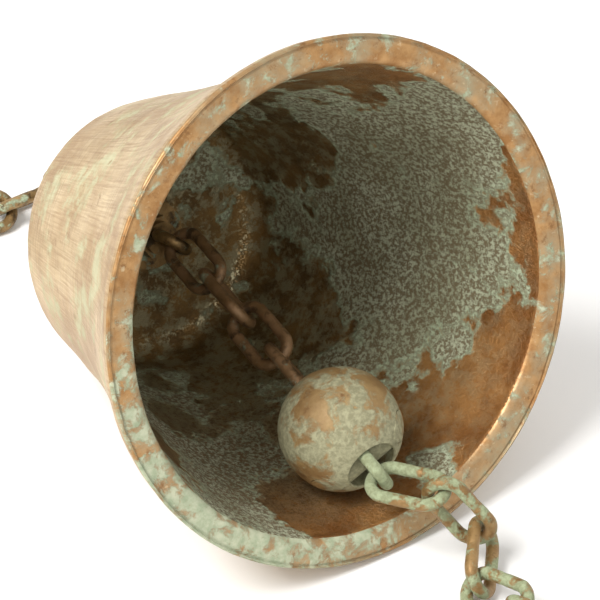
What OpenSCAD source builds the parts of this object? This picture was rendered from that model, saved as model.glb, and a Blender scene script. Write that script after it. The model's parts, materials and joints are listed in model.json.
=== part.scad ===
// Ship's bell with a chain clapper, a pull chain and a hanging chain.
// The bell lies on its side on a level surface at z = 0, its mouth towards -Y and its crown
// towards +Y. The ball lies on the inner wall, and the two chains run out along the surface.

/* [Bell] */
// Outer diameter across the lip
mouth_d = 102; // [84:1:124]
// Height from the mouth to the top of the crown
bell_h = 81; // [67:1:98]
// Diameter that the straight wall would have at the top of the crown
crown_d = 56; // [46:1:64]
// How far the wall flares out at the lip
lip_flare = 5.5; // [3:0.5:7]
// Height over which the wall flares
flare_h = 48; // [36:1:56]
// Width of the outer band of the lip
band_w = 2; // [1.5:0.1:3]
// Thickness of the lip, measured along its face
lip_t = 7; // [5:0.5:8.5]
// Height over which the wall thickens towards the lip
lip_h = 36; // [24:1:44]
// Thickness of the wall
wall_t = 3.4; // [2.5:0.1:4.5]
// Thickness of the crown
crown_t = 4; // [3:0.5:5]
// Outer radius of the shoulder
shoulder_r = 8; // [6:0.5:10]
// Radius of the lip's outer edge
lip_edge_r = 0.9; // [0.5:0.1:1.1]
// Radius of the lip's inner edge
lip_inner_edge_r = 2.4; // [1.5:0.1:2.8]

/* [Crown fittings] */
// Diameter of the shank through the crown
shank_d = 5; // [4:0.5:6]
// Clearance of the shank in the holes, on the diameter
hole_clear = 0.3; // [0.2:0.05:0.5]
// Diameter of the washers
washer_d = 15; // [12:0.5:18]
// Thickness of the washers
washer_t = 1; // [0.8:0.1:1.5]
// Width of the nut across its flats
nut_af = 8; // [7.5:0.5:10]
// Height of the nut
nut_h = 3.2; // [2.5:0.1:5]
// Diameter of the collar under the outer eye
collar_d = 9; // [7:0.5:11]
// Height of the collar under the outer eye
collar_h = 1.6; // [1:0.1:3]
// Inner radius of the outer eye
outer_eye_r = 3.5; // [3.2:0.1:5]
// Wire of the outer eye
outer_eye_wire = 3; // [2.5:0.1:3.5]
// Inner radius of the inner eye
inner_eye_r = 2; // [1.8:0.1:3]
// Wire of the inner eye
inner_eye_wire = 2.5; // [2:0.1:3]
// Diameter of the boss of the inner eye
boss_d = 7; // [6:0.5:8]
// Height of the boss of the inner eye
boss_h = 2; // [1.5:0.1:3]

/* [Clapper and pull chain] */
// Diameter of the clapper ball
ball_d = 24.6; // [20:0.2:28]
// Gap between the ball and the inner wall
ball_gap = 0.4; // [0.3:0.1:1]
// How far the link in the ball stands out of it
ball_link_out = 4.4; // [4.2:0.1:5]
// Diameter of the bore through the ball
ball_bore = 10.1; // [10:0.1:12]
// Depth of the bevel at each end of that bore
ball_bevel = 0.5; // [0.2:0.1:0.8]
// Distance of the cross pin from the ball's centre
pin_offset = 7.9; // [7.8:0.1:8]
// Outer length of a link
link_l = 17.6; // [17:0.1:19]
// Outer width of a link
link_w = 9.8; // [9.6:0.1:9.8]
// Wire of a link
link_wire = 2.5; // [2.3:0.1:2.6]
// Gap between the wires of two links
link_gap = 0.3; // [0.2:0.05:0.4]
// Outer diameter of the ring at the end of the pull chain
pull_ring_d = 20; // [17:1:26]
// Turn of the inner eye about the bell's axis
clapper_roll = 45; // [0:5:90]

/* [Hanging chain] */
// Outer length of a link
hang_link_l = 19; // [18:0.1:21]
// Outer width of a link
hang_link_w = 11.4; // [11:0.1:12.5]
// Wire of a link
hang_wire = 2.7; // [2.4:0.1:2.8]
// Outer diameter of the hanging ring
hang_ring_d = 26; // [22:1:32]
// Thickness of both rings
ring_t = 3; // [2.5:0.1:3.5]

/* [Hidden] */
CLAPPER_LINKS = 5;
PULL_LINKS = 7;
HANG_LINKS = 7;
$fn = 64;

BRASS = "#b98f5f";
PATINA = "#a9b799";
DARK_BRASS = "#7d6a4a";

// ---- outline of the bell: r is the distance from its axis, z runs from mouth to crown ----
wall_slope = (mouth_d / 2 - lip_flare - crown_d / 2) / (bell_h - band_w);
taper = atan(wall_slope);

function flare_at(z) = lip_flare * pow(max(0, flare_h - z) / (flare_h - band_w), 2);
function outer_r(z) = crown_d / 2 + (bell_h - z) * wall_slope + flare_at(z);
function extra_t(z) = (lip_t - wall_t) * pow(max(0, lip_h - z) / lip_h, 2);
function inner_r(z) = outer_r(max(z, band_w)) - wall_t - extra_t(z);
function arc(r, z, radius, from, to, n) =
    [for (i = [0:n]) let (a = from + (to - from) * i / n) [r + radius * cos(a), z + radius * sin(a)]];

crown_in = bell_h - crown_t;
in_shoulder_r = shoulder_r - wall_t;
out_arc_z = bell_h - shoulder_r;
out_arc_r = outer_r(out_arc_z) - shoulder_r / cos(taper);
in_arc_z = crown_in - in_shoulder_r;
in_arc_r = inner_r(in_arc_z) - in_shoulder_r / cos(taper);
wall_top = out_arc_z + shoulder_r * sin(taper);
in_wall_top = in_arc_z + in_shoulder_r * sin(taper);
WALL_STEPS = 22;
groove_w = 0.5;
groove_h = 0.35;
groove_r = mouth_d / 2 - lip_edge_r - groove_w / 2;

function wall_z(i, top, bottom) = bottom + (top - bottom) * i / WALL_STEPS;
cup_outline = concat(
    arc(inner_r(lip_inner_edge_r) + lip_inner_edge_r, lip_inner_edge_r, lip_inner_edge_r, 180, 270, 7),
    [[groove_r - groove_w / 2, 0], [groove_r, groove_h], [groove_r + groove_w / 2, 0]],
    arc(mouth_d / 2 - lip_edge_r, lip_edge_r, lip_edge_r, -90, 0, 5),
    [for (i = [0:WALL_STEPS - 1]) let (z = wall_z(i, wall_top, band_w)) [outer_r(z), z]],
    arc(out_arc_r, out_arc_z, shoulder_r, taper, 90, 9),
    [[0, bell_h], [0, crown_in]],
    arc(in_arc_r, in_arc_z, in_shoulder_r, 90, taper, 9),
    [for (i = [WALL_STEPS - 1:-1:1]) let (z = wall_z(i, in_wall_top, lip_inner_edge_r))
        [inner_r(z), z]]
);

// ---- how the bell lies: on the top of the lip's band, with the shoulder just off the surface ----
touch_dr = mouth_d / 2 - lip_edge_r - out_arc_r;
touch_dz = out_arc_z - lip_edge_r;
tilt = atan2(touch_dr, touch_dz) + asin((lip_edge_r - shoulder_r) / norm([touch_dr, touch_dz]));
axis_h = cos(tilt) * mouth_d / 2 + sin(tilt) * band_w;

// ---- chain geometry: a link is [start, direction, width direction] ----
function turned(v, k, a) = v * cos(a) + cross(k, v) * sin(a) + k * (k * v) * (1 - cos(a));
function pitch(l, wire) = l - 2 * wire - link_gap;
// Each link hooks round the crown wire of the last one, bends about it and twists a little.
// The first hooks round a wire that is thicker by twice the lead, so it reaches that much less.
function links(start, e, t, bends, twists, step, lead, i = 0) =
    i == len(bends) ? [] :
    let (
        e2 = turned(e, t, bends[i]),
        t2 = turned(cross(e2, t), e2, twists[i]),
        reach = step - (i == 0 ? lead : 0)
    )
    concat([[start, e2, t2]], links(start + reach * e2, e2, t2, bends, twists, step, lead, i + 1));
// from a link's start to its middle, where own and last are its wire and the last link's
function middle(l, own, last) = (l - own) / 2 - (own + last) / 2 - link_gap;

clap_pitch = pitch(link_l, link_wire);
hang_pitch = pitch(hang_link_l, hang_wire);

// crown fittings, along the bell's axis
eye_sink = 0.6;
inner_eye_mean = inner_eye_r + inner_eye_wire / 2;
boss_z = crown_in - washer_t - nut_h - boss_h;
inner_eye_z = boss_z + eye_sink - inner_eye_mean - inner_eye_wire / 2;
outer_eye_mean = outer_eye_r + outer_eye_wire / 2;
collar_z = bell_h + washer_t + collar_h;
outer_eye_z = collar_z - eye_sink + outer_eye_mean + outer_eye_wire / 2;

// The clapper chain is straight, from the inner eye to the ball on the lowest line of the wall.
ball_r = ball_d / 2;
clap_lead = (inner_eye_wire - link_wire) / 2;
clap_len = (CLAPPER_LINKS + 1) * clap_pitch - clap_lead - ball_r - ball_link_out + link_wire / 2;
BALL_STEPS = 40;
ball_reach = ball_r + ball_gap;
function ball_side(h) = min([for (i = [1:BALL_STEPS - 1])
    let (dz = ball_reach * (2 * i / BALL_STEPS - 1))
    inner_r(max(0, h + dz)) - sqrt(pow(ball_reach, 2) - dz * dz)]);
// height of the ball at which it is a chain's length from the start
function ball_height(start, lo, hi, n) = let (mid = (lo + hi) / 2)
    n == 0 ? mid :
    norm([start[0], ball_side(mid) - start[1], start[2] - mid]) > clap_len
        ? ball_height(start, mid, hi, n - 1) : ball_height(start, lo, mid, n - 1);
function ball_at(start) = let (h = ball_height(start, 0, start[2], 30)) [0, ball_side(h), h];
function unit(v) = v / norm(v);
// The chain slides round the inner eye until it pulls squarely on the eye's wire.
eye_normal = [-sin(clapper_roll), cos(clapper_roll), 0];
inner_eye_centre = [0, 0, inner_eye_z];
function grip(e) = inner_eye_centre + inner_eye_mean * unit(e - (e * eye_normal) * eye_normal);
function pull_on(start, n) = n == 0 ? start : pull_on(grip(unit(ball_at(start) - start)), n - 1);
clap_start = pull_on(inner_eye_centre - [0, 0, inner_eye_mean], 8);
ball_pos = ball_at(clap_start);
clap_dir = unit(ball_pos - clap_start);
inner_eye_width = cross(unit(clap_start - inner_eye_centre), eye_normal);
CLAP_BENDS = [0, 0, 0, 0, 0, 0];
CLAP_TWISTS = [0, -2.4, -2.4, -2.4, -2.4, -2.4];
clap = links(clap_start, clap_dir, inner_eye_width, CLAP_BENDS, CLAP_TWISTS, clap_pitch, clap_lead);
ball_link = clap[CLAPPER_LINKS];
ball_link_n = cross(ball_link[1], ball_link[2]);

// The pull chain goes over the lip and along the surface.
PULL_BENDS = [33.3, -60.1, 78.9, -56, 38.4, 31.3, -6.6, -40];
PULL_TWISTS = [-16.5, -14.9, -10.7, 13.8, -6.9, -2.5, 6.5, -14];
pull_start = ball_link[0] + clap_pitch * ball_link[1];
pull = links(pull_start, ball_link[1], ball_link[2], PULL_BENDS, PULL_TWISTS, clap_pitch, 0);

// The hanging chain drops from the outer eye and runs along the surface.
outer_eye_roll = -85;
HANG_BENDS = [-30.7, -1.3, -38.9, -7.8, 79.7, 5.5, 3.9, -27];
HANG_TWISTS = [-9, -7.9, -5.5, 11.5, 17.5, 17.7, -11.9, 24];
hang_start = [0, 0, outer_eye_z + outer_eye_mean];
outer_eye_width = [cos(outer_eye_roll), sin(outer_eye_roll), 0];
hang_lead = (outer_eye_wire - hang_wire) / 2;
hang = links(hang_start, [0, 0, 1], outer_eye_width, HANG_BENDS, HANG_TWISTS, hang_pitch, hang_lead);

// ---- the origin: on the surface, under the middle of the whole object ----
function lain(v) =
    [v[0], cos(tilt) * v[2] - sin(tilt) * v[1], -cos(tilt) * v[1] - sin(tilt) * v[2]];
// lowest or highest point along axis k of a link or ring, where side is -1 or 1
function extreme(f, l, w, own, last, k, side) =
    let (
        e = lain(f[1]),
        t = lain(f[2]),
        r = (w - own) / 2,
        straight = (l - w) / 2,
        mid = lain(f[0] + middle(l, own, last) * f[1])
    )
    mid[k] + side * (straight * abs(e[k]) + r * norm([e[k], t[k]]) + own / 2);
function pull_extreme(k, side) = concat(
    [for (i = [0:PULL_LINKS - 1]) extreme(pull[i], link_l, link_w, link_wire, link_wire, k, side)],
    [extreme(pull[PULL_LINKS], pull_ring_d, pull_ring_d, ring_t, link_wire, k, side)]
);
function hang_extreme(k, side) = concat(
    [for (i = [1:HANG_LINKS - 1]) extreme(hang[i], hang_link_l, hang_link_w, hang_wire, hang_wire, k, side)],
    [extreme(hang[HANG_LINKS], hang_ring_d, hang_ring_d, ring_t, hang_wire, k, side)]
);
low = [for (k = [0, 1]) min(concat(pull_extreme(k, -1), hang_extreme(k, -1), [-mouth_d / 2]))];
high = [for (k = [0, 1]) max(concat(pull_extreme(k, 1), hang_extreme(k, 1), [mouth_d / 2]))];
home = [-(low[0] + high[0]) / 2, -(low[1] + high[1]) / 2, axis_h];

// ---- shapes ----
module lie() {
    translate(home) rotate([-90 - tilt, 0, 0]) children();
}

module in_frame(o, e, t) {
    n = cross(e, t);
    multmatrix([[e[0], t[0], n[0], o[0]], [e[1], t[1], n[1], o[1]], [e[2], t[2], n[2], o[2]]])
        children();
}

module wire_link(l, w, wire) {
    r = (w - wire) / 2;
    half = l / 2 - wire / 2 - r;
    for (side = [0, 180]) rotate(side) {
        translate([half, 0, 0]) rotate(-90) rotate_extrude(angle = 180) translate([r, 0]) circle(d = wire);
        translate([-half, r, 0]) rotate([0, 90, 0]) cylinder(h = 2 * half, d = wire);
    }
}

// A link hooked round the wire at its frame's origin; last is that wire's diameter.
module chain_link(f, l, w, wire, last, colour) {
    color(colour) lie() in_frame(f[0], f[1], f[2])
        translate([middle(l, wire, last), 0, 0]) wire_link(l, w, wire);
}

// A ring of flat stock, bored through, with bevelled edges.
module end_ring(f, d, last, colour) {
    bevel = ring_t / 4;
    mid = d / 2 - ring_t / 2;
    section = [for (a = [0:90:270]) for (s = [-1, 1])
        let (p = [ring_t / 2, s * (ring_t / 2 - bevel)])
        [mid + p[0] * cos(a) - p[1] * sin(a), p[0] * sin(a) + p[1] * cos(a)]];
    color(colour) lie() in_frame(f[0], f[1], f[2])
        translate([middle(d, ring_t, last), 0, 0]) rotate_extrude() polygon(section);
}

module bell_cup() {
    color(BRASS) lie() difference() {
        rotate_extrude() polygon(cup_outline);
        translate([0, 0, crown_in - 1]) cylinder(h = crown_t + 2, d = shank_d + hole_clear);
    }
}

module washer(z) {
    color(DARK_BRASS) lie() translate([0, 0, z]) difference() {
        cylinder(h = washer_t, d = washer_d);
        translate([0, 0, -1]) cylinder(h = washer_t + 2, d = shank_d + hole_clear);
    }
}

module outer_washer() {
    washer(bell_h);
}

module inner_washer() {
    washer(crown_in - washer_t);
}

// An upright ring whose plane holds the bell's axis and the direction of width.
module eye_ring(z, width, mean, wire) {
    translate([0, 0, z]) in_frame([0, 0, 0], [0, 0, 1], width)
        rotate_extrude() translate([mean, 0]) circle(d = wire);
}

module crown_eye_bolt() {
    shank_end = boss_z + boss_h / 4;
    color(DARK_BRASS) lie() {
        eye_ring(outer_eye_z, outer_eye_width, outer_eye_mean, outer_eye_wire);
        translate([0, 0, bell_h + washer_t]) cylinder(h = collar_h, d = collar_d);
        translate([0, 0, shank_end]) cylinder(h = bell_h + washer_t - shank_end + collar_h / 2, d = shank_d);
    }
}

module crown_nut() {
    color(DARK_BRASS) lie() translate([0, 0, crown_in - washer_t - nut_h]) difference() {
        cylinder(h = nut_h, d = nut_af / cos(30), $fn = 6);
        translate([0, 0, -1]) cylinder(h = nut_h + 2, d = shank_d);
    }
}

module inner_eye() {
    color(DARK_BRASS) lie() {
        eye_ring(inner_eye_z, cross(eye_normal, [0, 0, 1]), inner_eye_mean, inner_eye_wire);
        translate([0, 0, boss_z]) difference() {
            cylinder(h = boss_h, d = boss_d);
            translate([0, 0, boss_h / 4]) cylinder(h = boss_h, d = shank_d);
        }
    }
}

module clapper_link(i) {
    last = i == 1 ? inner_eye_wire : link_wire;
    chain_link(clap[i - 1], link_l, link_w, link_wire, last, DARK_BRASS);
}

module ball_link() {
    chain_link(ball_link, link_l, link_w, link_wire, link_wire, PATINA);
}

module ball_frame() {
    lie() in_frame(ball_pos, ball_link[1], ball_link[2]) children();
}

module pin_shape() {
    translate([pin_offset, 0, 0]) cylinder(h = ball_d, d = link_w - 2 * link_wire, center = true);
}

// Turned about the bore, with a bevelled mouth at each end, then drilled across for the pin.
module clapper_ball() {
    bore_r = ball_bore / 2;
    bevel_z = sqrt(pow(ball_r, 2) - pow(bore_r, 2)) - ball_bevel;
    beyond = bevel_z + ball_d - bore_r;
    color(PATINA) ball_frame() difference() {
        rotate([0, 90, 0]) rotate_extrude() intersection() {
            circle(d = ball_d);
            polygon([[bore_r, -bevel_z], [ball_d, -beyond], [ball_d, beyond], [bore_r, bevel_z]]);
        }
        pin_shape();
    }
}

module ball_pin() {
    color(DARK_BRASS) ball_frame() intersection() {
        sphere(d = ball_d);
        pin_shape();
    }
}

module pull_link(i) {
    chain_link(pull[i - 1], link_l, link_w, link_wire, link_wire, PATINA);
}

module pull_ring() {
    end_ring(pull[PULL_LINKS], pull_ring_d, link_wire, PATINA);
}

module hanging_link(i) {
    last = i == 1 ? outer_eye_wire : hang_wire;
    chain_link(hang[i - 1], hang_link_l, hang_link_w, hang_wire, last, PATINA);
}

module hanging_ring() {
    end_ring(hang[HANG_LINKS], hang_ring_d, hang_wire, PATINA);
}

bell_cup();
crown_eye_bolt();
outer_washer();
inner_washer();
crown_nut();
inner_eye();
for (i = [1:CLAPPER_LINKS]) clapper_link(i);
ball_link();
clapper_ball();
ball_pin();
for (i = [1:PULL_LINKS]) pull_link(i);
pull_ring();
for (i = [1:HANG_LINKS]) hanging_link(i);
hanging_ring();
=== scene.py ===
# %% [markdown]
# # A small ship's bell with its chains
#
# The bell is a brass casting that has stood in salt air. It lies on its side with its mouth
# towards us. A ball on a short chain is its clapper, and a pull chain hangs out of the ball.
# A second chain and a ring, behind the crown, are what it hangs from.
#
# The frame comes from the CAD model: every piece already has its true place there. We keep the
# CAD for the small turned fittings, and model the casting, the ball and the chain again so that
# they have the uneven surface of cast and bent brass.

# %% Load the frame
import json
import math

import bpy
import numpy as np
from mathutils import Matrix, Vector


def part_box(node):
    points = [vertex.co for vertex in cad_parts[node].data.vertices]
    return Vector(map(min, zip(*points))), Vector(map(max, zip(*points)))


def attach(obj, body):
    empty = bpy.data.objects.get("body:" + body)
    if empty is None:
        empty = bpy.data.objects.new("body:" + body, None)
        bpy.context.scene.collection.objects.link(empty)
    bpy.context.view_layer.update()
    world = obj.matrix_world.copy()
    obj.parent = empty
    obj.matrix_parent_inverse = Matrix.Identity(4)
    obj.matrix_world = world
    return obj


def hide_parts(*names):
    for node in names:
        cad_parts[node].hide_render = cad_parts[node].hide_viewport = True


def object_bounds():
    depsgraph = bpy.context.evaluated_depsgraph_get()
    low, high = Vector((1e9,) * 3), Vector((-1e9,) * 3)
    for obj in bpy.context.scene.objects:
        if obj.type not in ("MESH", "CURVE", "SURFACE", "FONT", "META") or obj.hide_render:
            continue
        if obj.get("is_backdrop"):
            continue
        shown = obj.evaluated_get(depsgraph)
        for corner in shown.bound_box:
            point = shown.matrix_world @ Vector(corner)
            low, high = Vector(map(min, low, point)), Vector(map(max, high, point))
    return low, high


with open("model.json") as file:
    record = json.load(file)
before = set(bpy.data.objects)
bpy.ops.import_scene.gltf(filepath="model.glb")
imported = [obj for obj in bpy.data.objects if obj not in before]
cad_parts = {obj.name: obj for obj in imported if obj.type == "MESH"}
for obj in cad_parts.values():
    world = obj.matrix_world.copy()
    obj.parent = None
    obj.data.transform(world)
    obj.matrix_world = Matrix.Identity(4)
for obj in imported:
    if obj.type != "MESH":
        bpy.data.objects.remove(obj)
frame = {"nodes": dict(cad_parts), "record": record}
cad_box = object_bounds()
nodes = frame["nodes"]
joints = {j["child"]: j for j in frame["record"]["behaviour"]["joints"]}
MM = 0.001
print("CAD nodes:", len(nodes))


# %% [markdown]
# ## Small helpers
#
# Operators act on whatever is selected, so each step starts with nothing selected. A finished
# piece has its place written into its mesh, like the CAD nodes, which `settle` does.

# %% Helpers for pieces
def pick_only(obj):
    bpy.ops.object.select_all(action="DESELECT")
    obj.select_set(True)
    bpy.context.view_layer.objects.active = obj


def settle(obj, place=None):
    pick_only(obj)
    if place is not None:
        obj.matrix_world = place @ obj.matrix_world
    bpy.ops.object.transform_apply(location=True, rotation=True, scale=True)


def apply_modifiers(obj):
    pick_only(obj)
    for modifier in list(obj.modifiers):
        bpy.ops.object.modifier_apply(modifier=modifier.name)


def select_where(obj, kind, test):
    """In edit mode, selects the verts, edges or faces whose middle passes the test."""
    bpy.ops.mesh.select_all(action="DESELECT")
    bpy.ops.mesh.select_mode(type=kind)
    bpy.ops.object.mode_set(mode="OBJECT")
    mesh = obj.data
    items = {"VERT": mesh.vertices, "EDGE": mesh.edges, "FACE": mesh.polygons}[kind]
    found = 0
    for item in items:
        if kind == "VERT":
            middle = item.co
        else:
            points = [mesh.vertices[i].co for i in item.vertices]
            middle = sum(points, Vector()) / len(points)
        item.select = bool(test(middle))
        found += item.select
    bpy.ops.object.mode_set(mode="EDIT")
    return found


def roughen(obj, size, depth, middle=0.5):
    """Pushes the surface in and out by a cloud pattern: size and depth in metres."""
    clouds = bpy.data.textures.new(obj.name + "_unevenness", "CLOUDS")
    clouds.noise_scale = size
    clouds.noise_depth = 2
    push = obj.modifiers.new("unevenness", "DISPLACE")
    push.texture = clouds
    push.texture_coords = "LOCAL"
    push.strength = depth
    push.mid_level = middle
    apply_modifiers(obj)


# %% [markdown]
# ## The casting
#
# A bell is turned from a cast blank, so its section is the same all round. It could be a screw
# modifier on a drawn outline. Here a ring of vertices is extruded and resized step by step along
# the outline, as a turner's tool follows the section: up the outside, over the shoulder, through
# the crown's hole and back down the inside. It closes over the lip. A fine groove just inside the
# outer band of the lip is part of the outline.

# %% The outline, in mm: distance from the axis, and height above the mouth
MOUTH_R, HEIGHT, CROWN_R, FLARE, FLARE_H, BAND = 51.0, 81.0, 28.0, 5.5, 48.0, 2.0
LIP_T, LIP_H, WALL, CROWN_T, SHOULDER, EDGE = 7.0, 36.0, 3.4, 4.0, 8.0, 0.9
IN_EDGE = 2.4
HOLE_R = 2.65
slope = (MOUTH_R - FLARE - CROWN_R) / (HEIGHT - BAND)
taper = math.degrees(math.atan(slope))


def outer_r(z):
    return CROWN_R + (HEIGHT - z) * slope + FLARE * (max(0, FLARE_H - z) / (FLARE_H - BAND)) ** 2


def inner_r(z):
    return outer_r(max(z, BAND)) - WALL - (LIP_T - WALL) * (max(0, LIP_H - z) / LIP_H) ** 2


def arc(r, z, radius, start, end, count):
    angles = [math.radians(start + (end - start) * i / count) for i in range(count + 1)]
    return [(r + radius * math.cos(a), z + radius * math.sin(a)) for a in angles]


def run(function, top, bottom, count):
    heights = [top + (bottom - top) * i / count for i in range(1, count)]
    return [(function(z), z) for z in heights]


outer_arc_z = HEIGHT - SHOULDER
outer_arc_r = outer_r(outer_arc_z) - SHOULDER / math.cos(math.radians(taper))
in_radius = SHOULDER - WALL
inner_arc_z = HEIGHT - CROWN_T - in_radius
inner_arc_r = inner_r(inner_arc_z) - in_radius / math.cos(math.radians(taper))
outer_top = outer_arc_z + SHOULDER * math.sin(math.radians(taper))
inner_top = inner_arc_z + in_radius * math.sin(math.radians(taper))
lip_inside = inner_r(IN_EDGE)
inner_edge_r = lip_inside + IN_EDGE
groove = MOUTH_R - EDGE - 0.25
outline = (
    arc(MOUTH_R - EDGE, EDGE, EDGE, -90, 0, 8)
    + run(outer_r, BAND * 0.9, outer_top, 64)
    + arc(outer_arc_r, outer_arc_z, SHOULDER, taper, 90, 14)
    + [(r, HEIGHT) for r in (16.0, 12.0, 8.0, 5.0, HOLE_R)]
    + [(r, HEIGHT - CROWN_T) for r in (HOLE_R, 5.0, 8.0, 12.0, 16.0)]
    + arc(inner_arc_r, inner_arc_z, in_radius, 90, taper, 10)
    + run(inner_r, inner_top, IN_EDGE, 64)
    + arc(inner_edge_r, IN_EDGE, IN_EDGE, 180, 270, 12)
    + [(inner_edge_r + (groove - 0.45 - inner_edge_r) * i / 4, 0) for i in range(1, 5)]
    + [(groove - 0.22, 0.06), (groove, 0.4), (groove + 0.2, 0.06)]
)
print("outline points:", len(outline), "inside radius at the lip (mm):", round(lip_inside, 2))

# %% Where the bell lies
# The rounded edge of its lip and its shoulder lie along one straight line, which sets its tilt.
# The washer outside the crown then gives the mouth's centre, a known way back along the axis.
rest_dr, rest_dz = MOUTH_R - EDGE - outer_arc_r, outer_arc_z - EDGE
TILT = math.atan2(rest_dr, rest_dz) - math.asin((SHOULDER - EDGE) / math.hypot(rest_dr, rest_dz))
WASHER_T = 1.0
crown_way = Vector((0, math.cos(TILT), -math.sin(TILT)))
washer_low, washer_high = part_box("outer_washer")
washer_centre = (Vector(washer_low) + Vector(washer_high)) / 2
MOUTH = washer_centre - crown_way * (HEIGHT + WASHER_T / 2) * MM
bell_turn = (-math.pi / 2 - TILT, 0, 0)
bell_place = Matrix.Translation(MOUTH) @ Matrix.Rotation(bell_turn[0], 4, "X")
print("tilt (degrees):", round(math.degrees(TILT), 2), "mouth centre (mm):", MOUTH / MM)

# %% Turn the outline
ROUND = 224
first_r, first_z = outline[0]
bpy.ops.object.select_all(action="DESELECT")
bpy.ops.mesh.primitive_circle_add(vertices=ROUND, radius=first_r * MM, location=(0, 0, first_z * MM))
bell = bpy.context.object
bell.name = bell.data.name = "bell_casting"
settle(bell)
bpy.ops.object.mode_set(mode="EDIT")
last_r, last_z = first_r, first_z
for r, z in outline[1:] + outline[:1]:
    step = (0, 0, (z - last_z) * MM)
    bpy.ops.mesh.extrude_region_move(TRANSFORM_OT_translate={"value": step})
    bpy.ops.transform.resize(value=(r / last_r, r / last_r, 1), center_override=(0, 0, z * MM))
    last_r, last_z = r, z
bpy.ops.mesh.select_all(action="SELECT")
bpy.ops.mesh.remove_doubles(threshold=0.00001)
bpy.ops.mesh.normals_make_consistent(inside=False)
bpy.ops.object.mode_set(mode="OBJECT")
print("casting faces:", len(bell.data.polygons))

# %% Uneven like a casting that has been brushed and has corroded
# The middle level of 1 only ever takes metal away, so the bell stays inside its CAD box.
roughen(bell, 0.022, 0.0005, 1.0)
roughen(bell, 0.0045, 0.00022, 1.0)
roughen(bell, 0.0012, 0.00007, 1.0)
pick_only(bell)
bpy.ops.object.shade_smooth()
settle(bell, bell_place)
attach(bell, "bell")
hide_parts("bell_cup")


# %% [markdown]
# ## Chain links
#
# A chain link is a length of brass wire bent to an oval and closed. A torus split at its middle
# and pulled apart gives two round ends and two straight sides. The closed ends of the wire meet
# in the middle of one side, where a shallow nick shows. The wire is never quite even, so each
# copy is roughened after it is in place and no two are alike.

# %% Find a piece's own directions in the CAD
def directions(node):
    """Middle, long direction, wide direction and thin direction of a CAD node."""
    points = np.array([v.co[:] for v in node.data.vertices])
    middle = (points.max(0) + points.min(0)) / 2
    shape = np.unique(np.round(points - points.mean(0), 7), axis=0)
    values, vectors = np.linalg.eigh(shape.T @ shape)
    long_way, wide_way = vectors[:, 2], vectors[:, 1]
    thin_way = np.cross(long_way, wide_way)
    along = [points @ v for v in (long_way, wide_way, thin_way)]
    centre = sum(v * (a.max() + a.min()) / 2 for v, a in zip((long_way, wide_way, thin_way), along))
    return Vector(centre), Vector(long_way), Vector(wide_way), Vector(thin_way)


def frame_matrix(centre, x, y, z):
    turned = Matrix((x, y, z)).transposed().to_4x4()
    return Matrix.Translation(centre) @ turned


# %% One link, drawn at the origin
SIDE_SHARE = 0.92  # how much of each straight side the extra cuts take up
NICK = 0.9  # thickness of the wire where its ends meet, as a share of the rest


def make_link(name, length, width, wire):
    bpy.ops.object.select_all(action="DESELECT")
    bend = (width - wire) / 2
    side = (length - width) / 2
    bpy.ops.mesh.primitive_torus_add(major_segments=40, minor_segments=20,
                                     major_radius=bend * MM, minor_radius=wire / 2 * MM)
    link = bpy.context.object
    link.name = link.data.name = name
    tiny = 0.00001
    bpy.ops.object.mode_set(mode="EDIT")
    for way in (-1, 1):
        select_where(link, "VERT", lambda p: p.x * way > tiny)
        bpy.ops.transform.translate(value=(way * side * MM, 0, 0))
    select_where(link, "EDGE", lambda p: abs(p.x) < tiny)
    bpy.ops.mesh.bevel(offset=side * MM * SIDE_SHARE, segments=8, affect="EDGES")
    select_where(link, "VERT", lambda p: abs(p.x) < 0.0001 and p.y > 0)
    bpy.ops.transform.resize(value=(1, NICK, NICK), center_override=(0, bend * MM, 0))
    bpy.ops.object.mode_set(mode="OBJECT")
    return link


small_link = make_link("wire_link", 17.6, 9.8, 2.5)
large_link = make_link("hanging_wire_link", 19.0, 11.4, 2.7)
print("link vertices:", len(small_link.data.vertices))


# %% Copy the links to their places
def lay_link(pattern, node_name, body):
    piece = pattern.copy()
    piece.data = pattern.data.copy()
    piece.name = piece.data.name = node_name + "_wire"
    bpy.context.scene.collection.objects.link(piece)
    settle(piece, frame_matrix(*directions(nodes[node_name])))
    smoother = piece.modifiers.new("round", "SUBSURF")
    smoother.levels = smoother.render_levels = 1
    apply_modifiers(piece)
    roughen(piece, 0.006, 0.00016)
    roughen(piece, 0.0011, 0.00009)
    bpy.ops.object.shade_smooth()
    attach(piece, body)
    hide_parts(node_name)
    return piece


clapper_links = [lay_link(small_link, f"clapper_link_{i}", f"clapper_link_{i}")
                 for i in range(1, 6)]
ball_link = lay_link(small_link, "ball_link", "ball")
pull_links = [lay_link(small_link, f"pull_link_{i}", f"pull_link_{i}")
              for i in range(1, 8)]
hanging_links = [lay_link(large_link, f"hanging_link_{i}", f"hanging_link_{i}")
                 for i in range(1, 8)]
for pattern in (small_link, large_link):
    bpy.data.objects.remove(pattern)
print("links laid:", len(clapper_links) + len(pull_links) + len(hanging_links) + 1)

# %% [markdown]
# ## The clapper ball
#
# The ball is cast and drilled right through, and the bore's mouths are broken with a small bevel.
# A sphere with both caps taken off and its two rims bridged gives a clean bore. The hole for the
# cross pin is cut with a boolean, since a drill would cut it the same way.

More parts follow.
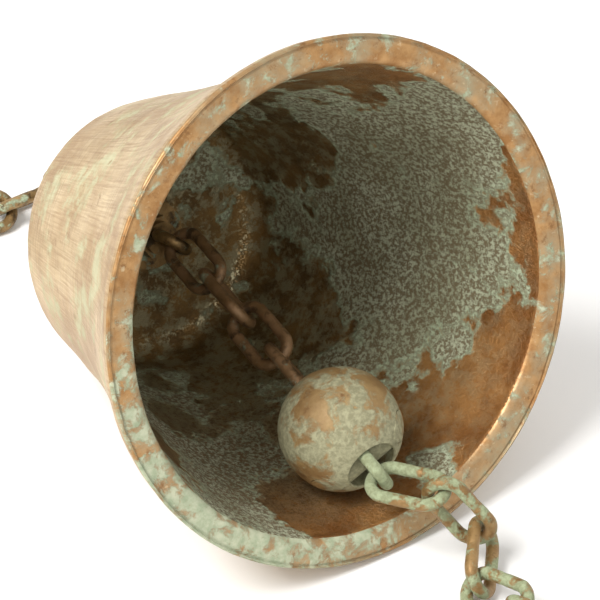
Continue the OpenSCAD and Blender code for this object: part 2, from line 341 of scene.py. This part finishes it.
# %% Make the ball
BALL_R, BORE_R, BEVEL = 12.3, 5.05, 0.5
RIM_MARGIN = 0.15
ball_centre = (Vector(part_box("clapper_ball")[0]) + Vector(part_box("clapper_ball")[1])) / 2
_, ball_way, ball_wide, ball_thin = directions(nodes["ball_link"])
pull_start = Vector(joints["pull_link_1"]["pos_m"])
if (pull_start - ball_centre).dot(ball_way) < 0:
    ball_way, ball_thin = -ball_way, -ball_thin
bpy.ops.object.select_all(action="DESELECT")
bpy.ops.mesh.primitive_uv_sphere_add(segments=96, ring_count=64, radius=BALL_R * MM)
ball = bpy.context.object
ball.name = ball.data.name = "clapper_ball_casting"
rim_r = BORE_R + BEVEL
rim_z = math.sqrt(BALL_R ** 2 - rim_r ** 2)
bpy.ops.object.mode_set(mode="EDIT")
select_where(ball, "FACE", lambda p: math.hypot(p.x, p.y) < (rim_r + RIM_MARGIN) * MM)
bpy.ops.mesh.delete(type="FACE")
for way in (-1, 1):
    bpy.ops.mesh.select_all(action="SELECT")
    bpy.ops.mesh.region_to_loop()
    bpy.ops.object.mode_set(mode="OBJECT")
    rim = [v for v in ball.data.vertices if v.select and v.co.z * way > 0]
    rim_now = math.hypot(rim[0].co.x, rim[0].co.y)
    z_now = rim[0].co.z
    for v in ball.data.vertices:
        v.select = False
    for item in list(ball.data.edges) + list(ball.data.polygons):
        item.select = False
    chosen = {v.index for v in rim}
    for v in rim:
        v.select = True
    for e in ball.data.edges:
        e.select = e.vertices[0] in chosen and e.vertices[1] in chosen
    bpy.ops.object.mode_set(mode="EDIT")
    for r, z in ((rim_r, rim_z), (BORE_R, rim_z - BEVEL * 0.6)):
        z_next = way * z * MM
        bpy.ops.mesh.extrude_region_move(TRANSFORM_OT_translate={"value": (0, 0, z_next - z_now)})
        scale = r * MM / rim_now
        bpy.ops.transform.resize(value=(scale, scale, 1), center_override=(0, 0, z_next))
        rim_now, z_now = r * MM, z_next
bpy.ops.mesh.select_all(action="SELECT")
bpy.ops.mesh.region_to_loop()
bpy.ops.mesh.bridge_edge_loops(number_cuts=10)
bpy.ops.mesh.select_all(action="SELECT")
bpy.ops.mesh.normals_make_consistent(inside=False)
bpy.ops.object.mode_set(mode="OBJECT")
print("ball faces:", len(ball.data.polygons))

# %% Place the ball and drill it for the pin
settle(ball, frame_matrix(ball_centre, ball_thin, ball_wide, ball_way))
PIN_OFFSET, PIN_R, DRILL_L = 7.9, 2.43, 30
pin_centre = ball_centre + ball_way * PIN_OFFSET * MM
bpy.ops.object.select_all(action="DESELECT")
bpy.ops.mesh.primitive_cylinder_add(vertices=48, radius=PIN_R * MM, depth=DRILL_L * MM)
drill = bpy.context.object
settle(drill, frame_matrix(pin_centre, ball_way, ball_wide, ball_way.cross(ball_wide)))
cut = ball.modifiers.new("pin hole", "BOOLEAN")
cut.operation, cut.object, cut.solver = "DIFFERENCE", drill, "EXACT"
apply_modifiers(ball)
bpy.data.objects.remove(drill)
roughen(ball, 0.009, 0.0003, 1.0)
roughen(ball, 0.0013, 0.00008, 1.0)
pick_only(ball)
bpy.ops.object.shade_smooth_by_angle(angle=math.radians(40))
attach(ball, "ball")
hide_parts("clapper_ball")
print("ball box (mm):", [round(v / MM, 1) for v in ball.dimensions])


# %% [markdown]
# ## Finishes
#
# All of it is brass, so the finishes differ only in what years of air have done. Bare brass goes
# from tan to orange brown, then dark brown, and where salt water dries it grows verdigris, a pale
# green crust. The crust is matt and stands proud, the bare metal is smoother and shines a little.
#
# The pattern nodes work in millimetres: a Mapping node turns Object coordinates into them, and on
# the bell it also turns them into the bell's own directions, so z runs from mouth to crown.

# %% Colour and node helpers
def linear(code):
    """A #rrggbb colour as the linear values that Blender's sockets hold."""
    parts = [int(code[i:i + 2], 16) / 255 for i in (1, 3, 5)]
    return tuple(c / 12.92 if c < 0.04045 else ((c + 0.055) / 1.055) ** 2.4 for c in parts) + (1,)


def add(tree, kind, sockets=None, **settings):
    """Adds one node, sets it up, and fills its sockets with values or links."""
    made = tree.nodes.new("ShaderNode" + kind)
    for key, value in settings.items():
        setattr(made, key, value)
    for key, value in (sockets or {}).items():
        socket = made.inputs[key]
        if isinstance(value, bpy.types.NodeSocket):
            tree.links.new(value, socket)
        else:
            socket.default_value = value
    return made


def millimetres(tree, place=(0, 0, 0), turn=(0, 0, 0)):
    """Coordinates in mm, seen from a place and turn in the part's frame."""
    coords = add(tree, "TexCoord").outputs["Object"]
    sockets = {"Vector": coords, "Location": place, "Rotation": turn, "Scale": (MM, MM, MM)}
    return add(tree, "Mapping", sockets, vector_type="TEXTURE").outputs[0]


def patches(tree, coords, size, low, high, detail=6.0, rough=0.6, warp=0.0, bias=None):
    """A mask from 0 to 1 with patches about size mm across; bias adds to the pattern first."""
    sockets = {"Vector": coords, "Scale": 1 / size, "Detail": detail, "Roughness": rough,
               "Distortion": warp}
    value = add(tree, "TexNoise", sockets).outputs[0]
    if bias is not None:
        value = add(tree, "Math", {0: value, 1: bias}, operation="ADD").outputs[0]
    return add(tree, "MapRange", {0: value, 1: low, 2: high}).outputs[0]


def blend(tree, amount, under, over):
    """Lays a colour over another, by a mask. Colours are sockets or hex codes."""
    under, over = (linear(c) if isinstance(c, str) else c for c in (under, over))
    return add(tree, "Mix", {0: amount, 6: under, 7: over}, data_type="RGBA").outputs[2]


def mixed(tree, amount, low, high):
    """A value that goes from low to high as the mask goes from 0 to 1."""
    return add(tree, "MapRange", {0: amount, 3: low, 4: high}).outputs[0]


def product(tree, *values):
    result = values[0]
    for value in values[1:]:
        result = add(tree, "Math", {0: result, 1: value}, operation="MULTIPLY").outputs[0]
    return result


def spot(tree, coords, centre, radius, soft):
    """1 within radius mm of a place, falling to 0 over soft mm."""
    away = add(tree, "VectorMath", {0: coords, 1: centre}, operation="DISTANCE").outputs["Value"]
    return add(tree, "MapRange", {0: away, 1: radius + soft, 2: radius}).outputs[0]


def new_finish(name):
    material = bpy.data.materials.new(name)
    material.use_nodes = True
    material.node_tree.nodes.clear()
    return material, material.node_tree


def surface(tree, colour, metallic, roughness, heights):
    """The shader: heights is a list of (mask, distance in mm, strength) for the bumps."""
    normal = None
    for height, distance, strength in heights:
        sockets = {"Height": height, "Distance": distance * MM, "Strength": strength}
        if normal is not None:
            sockets["Normal"] = normal
        normal = add(tree, "Bump", sockets).outputs[0]
    sockets = {"Base Color": colour, "Metallic": metallic, "Roughness": roughness, "Normal": normal}
    shader = add(tree, "BsdfPrincipled", sockets).outputs[0]
    add(tree, "OutputMaterial", {"Surface": shader})


# %% [markdown]
# ### Outside wall: brushed brass, weathered pale
#
# The wall was brushed while it turned, then wiped along its length, so it carries fine scratches
# both ways. Scratches follow the turning, so their pattern needs the distance round the bell: the
# angle about the axis times a mean radius. Real scratches are about 0.1 mm wide and are drawn
# 0.5 mm wide here, as finer ones don't show.

# %% Make the outside finish
MEAN_R = 42


def round_coords(tree, coords, across, along):
    """Coordinates that run round the bell and along it, stretched by sizes in mm."""
    parts = add(tree, "SeparateXYZ", {0: coords}).outputs
    angle = add(tree, "Math", {0: parts[0], 1: parts[1]}, operation="ARCTAN2").outputs[0]
    x = add(tree, "Math", {0: angle, 1: MEAN_R / across}, operation="MULTIPLY").outputs[0]
    y = add(tree, "Math", {0: parts[2], 1: 1 / along}, operation="MULTIPLY").outputs[0]
    return add(tree, "CombineXYZ", {0: x, 1: y}).outputs[0]


outside, tree = new_finish("brushed cast brass, weathered pale")
local = millimetres(tree, MOUTH, bell_turn)
turned_lines = patches(tree, round_coords(tree, local, 9, 0.55), 1, 0.40, 0.66, 5)
wiped_lines = patches(tree, round_coords(tree, local, 0.6, 14), 1, 0.42, 0.68, 5)
cloud = patches(tree, local, 16, 0.36, 0.64, 5)
colour = blend(tree, cloud, "#B7976A", "#DCC59B")
# Darker brown towards the lower left of the outside wall, in uneven blotches.
low_side = spot(tree, local, (-44, 26, 34), 18, 34)
blotches = patches(tree, local, 11, 0.40, 0.60, 7, 0.66, 0.3)
colour = blend(tree, product(tree, low_side, mixed(tree, blotches, 0.25, 0.75)), colour, "#97784F")
colour = blend(tree, product(tree, wiped_lines, 0.65), colour, "#9A7448")
worn = patches(tree, local, 24, 0.4, 0.6)
colour = blend(tree, product(tree, turned_lines, worn, 0.7), colour, "#8E6F49")
green = patches(tree, local, 9, 0.52, 0.62, 8, 0.65)
colour = blend(tree, product(tree, green, 0.6), colour, "#B7BE9C")
brown = patches(tree, local, 5.5, 0.60, 0.68, 8, 0.7)
colour = blend(tree, product(tree, brown, 0.7), colour, "#8A6238")
rough = mixed(tree, green, 0.42, 0.7)
surface(tree, colour, mixed(tree, green, 0.55, 0.1), rough,
        [(turned_lines, 0.05, 0.5), (wiped_lines, 0.05, 0.5), (green, 0.06, 0.6)])

# %% [markdown]
# ### Lip: orange brown with verdigris in patches
#
# The face of the lip was turned smooth. Handling keeps its high places bare and orange brown, and
# verdigris has settled mostly on the side that lay lowest.

# %% Make the lip's finish
lip, tree = new_finish("turned cast brass with verdigris patches")
local = millimetres(tree, MOUTH, bell_turn)
low_side = spot(tree, local, (-30, 30, 0), 16, 34)
mint_bias = product(tree, low_side, 0.13)
mint = patches(tree, local, 4.5, 0.54, 0.62, 9, 0.74, 0.4, mint_bias)
film = patches(tree, local, 9, 0.42, 0.62, 8, 0.66, 0, product(tree, low_side, 0.1))
tone = patches(tree, local, 3.5, 0.36, 0.64, 8, 0.66)
colour = blend(tree, tone, "#966A3A", "#B78E5C")
colour = blend(tree, product(tree, film, 0.75), colour, "#A3987A")
dark = patches(tree, local, 2.6, 0.56, 0.66, 8, 0.72)
colour = blend(tree, product(tree, dark, 0.7), colour, "#7C5229")
pale = patches(tree, local, 1.7, 0.60, 0.68, 8, 0.7)
colour = blend(tree, product(tree, pale, 0.55), colour, "#D2BF9A")
crust = blend(tree, patches(tree, local, 2.2, 0.38, 0.62, 8, 0.7), "#93A284", "#B9BEA2")
colour = blend(tree, product(tree, mint, 0.88), colour, crust)
specks = patches(tree, local, 1.3, 0.60, 0.68, 8, 0.72)
colour = blend(tree, product(tree, specks, 0.6), colour, "#80613A")
rough = mixed(tree, mint, 0.4, 0.78)
grain = patches(tree, local, 0.9, 0.3, 0.7, 4)
surface(tree, colour, mixed(tree, mint, 0.5, 0.0), rough, [(mint, 0.12, 0.7), (grain, 0.03, 0.5)])

# %% [markdown]
# ### Inside: dark brown brass under a broken crust of verdigris, with painted shade deeper in
#
# Rain stood inside, and the crust grew where it dried. It is stippled because brown metal shows
# through it, and its edges are sharp and brightest, as it has flaked there. The bare places nearer
# the lip are smooth and still shine. The bare brass deeper in is drawn darker: painted shade.

# %% Make the inside finish
inside, tree = new_finish("dark cast brass under broken verdigris")
local = millimetres(tree, MOUTH, bell_turn)
parts = add(tree, "SeparateXYZ", {0: local}).outputs
crust_bias = product(tree, spot(tree, local, (34, 4, 34), 16, 20), 0.22)
for centre, radius, soft, weight in (
        ((36, -22, 12), 8, 10, 0.20), ((24, -24, 40), 8, 16, 0.10), ((-14, 32, 40), 10, 22, 0.12),
        ((-22, 38, 10), 10, 16, 0.16), ((16, 39, 8), 2, 7, 0.16), ((33, 24, 17), 2, 6, 0.14),
        ((43, 0, 3), 5, 14, -0.16), ((26, 33, 9), 9, 12, -0.18), ((29, -12, 52), 5, 9, -0.22),
        ((-8, 41, 10), 9, 9, -0.24), ((20, 22, 56), 4, 8, -0.20)):
    amount = product(tree, spot(tree, local, centre, radius, soft), weight)
    crust_bias = add(tree, "Math", {0: crust_bias, 1: amount}, operation="ADD").outputs[0]
crust = patches(tree, local, 13, 0.53, 0.57, 10, 0.6, 0.15, crust_bias)
core = patches(tree, local, 13, 0.55, 0.61, 10, 0.6, 0.15, crust_bias)
stipple = patches(tree, local, 0.8, 0.44, 0.54, 6, 0.74)
# Depth inside the bell, from 0 at 4 mm above the mouth to 1 at 50 mm. It sets the painted shade on
# bare brass and the share of grey mottle.
depth_for_shade_and_mottle = add(tree, "MapRange", {0: parts[2], 1: 4, 2: 50}).outputs[0]
tone = patches(tree, local, 9, 0.4, 0.62, 6)
mixed_deep = mixed(tree, depth_for_shade_and_mottle, 0.15, 0.7)
bare = blend(tree, tone, "#8A5A2C", "#B07E48")
# Painted shade: the bare brass is drawn darker the deeper it lies inside the bell.
bare = blend(tree, depth_for_shade_and_mottle, bare, blend(tree, tone, "#66502E", "#8A6C3E"))
wide = patches(tree, local, 15, 0.40, 0.60, 6)
green = blend(tree, core, "#A0B091", blend(tree, wide, "#94977A", "#AEB296"))
green = blend(tree, product(tree, stipple, mixed(tree, core, 0.3, 0.9)), green, "#5F4F33")
colour = blend(tree, crust, bare, green)
low_left = spot(tree, local, (-16, 30, 34), 18, 24)
mottle = patches(tree, local, 3.2, 0.47, 0.56, 9, 0.78, 0, product(tree, low_left, 0.09))
colour = blend(tree, product(tree, mottle, mixed(tree, crust, mixed_deep, 0.0)), colour, "#A39E7E")
grains = patches(tree, local, 1.0, 0.50, 0.56, 7, 0.76)
colour = blend(tree, product(tree, grains, low_left, 0.75), colour, "#6A4A28")
surface(tree, colour, mixed(tree, crust, 0.6, 0.0), mixed(tree, crust, 0.32, 0.85),
        [(crust, 0.25, 0.8), (stipple, 0.1, 0.7)])

# %% Give each zone of the casting its finish
for finish in (outside, lip, inside):
    bell.data.materials.append(finish)
to_bell = bell_place.inverted()
counts = [0, 0, 0]
for face in bell.data.polygons:
    point = to_bell @ face.center / MM
    r = math.hypot(point.x, point.y)
    between = (outer_r(point.z) + inner_r(point.z)) / 2
    if point.z < 1.4:
        zone = 1
    elif r > between or point.z > HEIGHT - CROWN_T / 2:
        zone = 0
    else:
        zone = 2
    face.material_index = zone
    counts[zone] += 1
print("faces outside, lip, inside:", counts)


# %% [markdown]
# ### Ball, chains and fittings
#
# These are the same metal in smaller pieces, so one recipe serves: a bare tone, a tarnish and a
# verdigris, each with its own share of the surface.

# %% The recipe for small brass
def small_brass(name, bare, tarnish, verdigris, green_at, dark_at, size, shine=0.42, metal=0.5,
                crusted=None):
    """Brass with tarnish where its pattern passes dark_at, and verdigris past green_at.
    Verdigris is thicker round the place crusted."""
    material, tree = new_finish(name)
    coords = millimetres(tree)
    more = None
    if crusted is not None:
        more = product(tree, spot(tree, coords, crusted / MM, 5, 4), 0.14)
    tone = patches(tree, coords, size, 0.38, 0.62, 6)
    colour = blend(tree, tone, bare[0], bare[1])
    dark = patches(tree, coords, size * 0.8, dark_at, dark_at + 0.10, 8, 0.65, 0.2)
    colour = blend(tree, product(tree, dark, 0.9), colour, tarnish)
    green = patches(tree, coords, size * 1.1, green_at, green_at + 0.07, 9, 0.66, 0.3, more)
    pale = patches(tree, coords, 1.1, 0.42, 0.60, 6, 0.7)
    crust = blend(tree, pale, verdigris[0], verdigris[1])
    colour = blend(tree, product(tree, green, 0.92), colour, crust)
    surface(tree, colour, mixed(tree, green, metal, 0.0), mixed(tree, green, shine, 0.8),
            [(green, 0.12, 0.7), (pale, 0.06, 0.6)])
    return material


bore_mouth = ball_centre + ball_way * BALL_R * MM
ball_finish = small_brass("cast brass with pale verdigris", ("#86683F", "#9C8154"), "#6E4C28",
                          ("#817F62", "#A09E7E"), 0.455, 0.57, 6, 0.55, 0.2, bore_mouth)
dark_chain = small_brass("brown tarnished brass wire", ("#7A5E3C", "#917150"), "#4B3A26",
                         ("#75826C", "#8F9C82"), 0.58, 0.54, 4, 0.45, 0.45)
green_chain = small_brass("brass wire with verdigris", ("#84653A", "#A08052"), "#5E4526",
                          ("#868E6C", "#A0AC88"), 0.47, 0.58, 3.4, 0.45, 0.4, bore_mouth)
aged_chain = small_brass("aged brass wire", ("#7A6038", "#A98A5C"), "#4C3A22",
                         ("#8C9A7E", "#B3BFA0"), 0.52, 0.52, 4, 0.4, 0.55)
fittings = small_brass("turned brass fittings, tarnished", ("#6E5632", "#92754A"), "#3F311E",
                       ("#7F8E76", "#A2B096"), 0.58, 0.52, 5, 0.38, 0.7)
ball.data.materials.append(ball_finish)
for pieces, finish in ((clapper_links, dark_chain), (pull_links + [ball_link], green_chain),
                       (hanging_links, aged_chain)):
    for piece in pieces:
        piece.data.materials.clear()
        piece.data.materials.append(finish)
for name, finish in (("crown_eye_bolt", fittings), ("outer_washer", fittings),
                     ("inner_washer", fittings), ("crown_nut", fittings), ("inner_eye", fittings),
                     ("ball_pin", ball_finish), ("pull_ring", green_chain),
                     ("hanging_ring", aged_chain)):
    for index in range(len(nodes[name].data.materials)):
        nodes[name].data.materials[index] = finish
print("finishes:", len([m for m in bpy.data.materials if m.users]))

# %% [markdown]
# ## Floor, light and camera
#
# A pale floor and big soft lights, as in a product shot: the main light comes from high on the
# left, so the outside wall is bright and the left of the inside stays dark.

# %% Floor
bpy.ops.object.select_all(action="DESELECT")
bpy.ops.mesh.primitive_plane_add(size=6)
floor = bpy.context.object
floor.name = "floor"
floor_finish, tree = new_finish("matt white paper")
white = blend(tree, patches(tree, millimetres(tree), 40, 0.3, 0.7), "#F4F3F1", "#F7F6F4")
surface(tree, white, 0.0, 0.9, [(patches(tree, millimetres(tree), 0.6, 0.3, 0.7), 0.01, 0.1)])
floor.data.materials.append(floor_finish)
floor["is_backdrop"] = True


# %% Lights
def soft_light(name, place, power, size, colour=(1, 1, 1)):
    light = bpy.data.lights.new(name, "AREA")
    light.energy, light.size, light.color = power, size, colour
    lamp = bpy.data.objects.new(name, light)
    lamp.location = place
    aim = Vector((0, -0.02, 0.05)) - Vector(place)
    lamp.rotation_euler = aim.to_track_quat("-Z", "Y").to_euler()
    bpy.context.scene.collection.objects.link(lamp)


soft_light("main_light", (-0.85, -0.1, 1.2), 20, 0.6)
soft_light("front_fill", (-0.3, -1.3, 0.9), 3, 0.9)
world = bpy.data.worlds.new("studio")
bpy.context.scene.world = world
world.use_nodes = True
world.node_tree.nodes["Background"].inputs[0].default_value = (1, 1, 1, 1)
world.node_tree.nodes["Background"].inputs[1].default_value = 0.8

# %% Camera
right = Vector((0.82602, -0.56304, -0.02622))
down = Vector((-0.3312, -0.4472, -0.83086))
forward = Vector((0.45608, 0.69498, -0.55587))
camera_data = bpy.data.cameras.new("camera")
camera_data.sensor_width = 36
camera_data.lens = 156
camera = bpy.data.objects.new("camera", camera_data)
camera.matrix_world = frame_matrix(MOUTH + Vector((-226.85, -328.97, 268.88)) * MM,
                                   right, -down, -forward)
bpy.context.scene.collection.objects.link(camera)
bpy.context.scene.camera = camera
bpy.context.scene.view_settings.view_transform = "Standard"

# %% Sizes and finish
visual_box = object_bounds()
sizes = {"cad": [list(map(float, corner)) for corner in cad_box],
         "visual": [list(map(float, corner)) for corner in visual_box]}
for axis, low, high in zip("XYZ", *sizes["visual"]):
    print(axis, "from", round(low / MM, 2), "to", round(high / MM, 2), "mm")
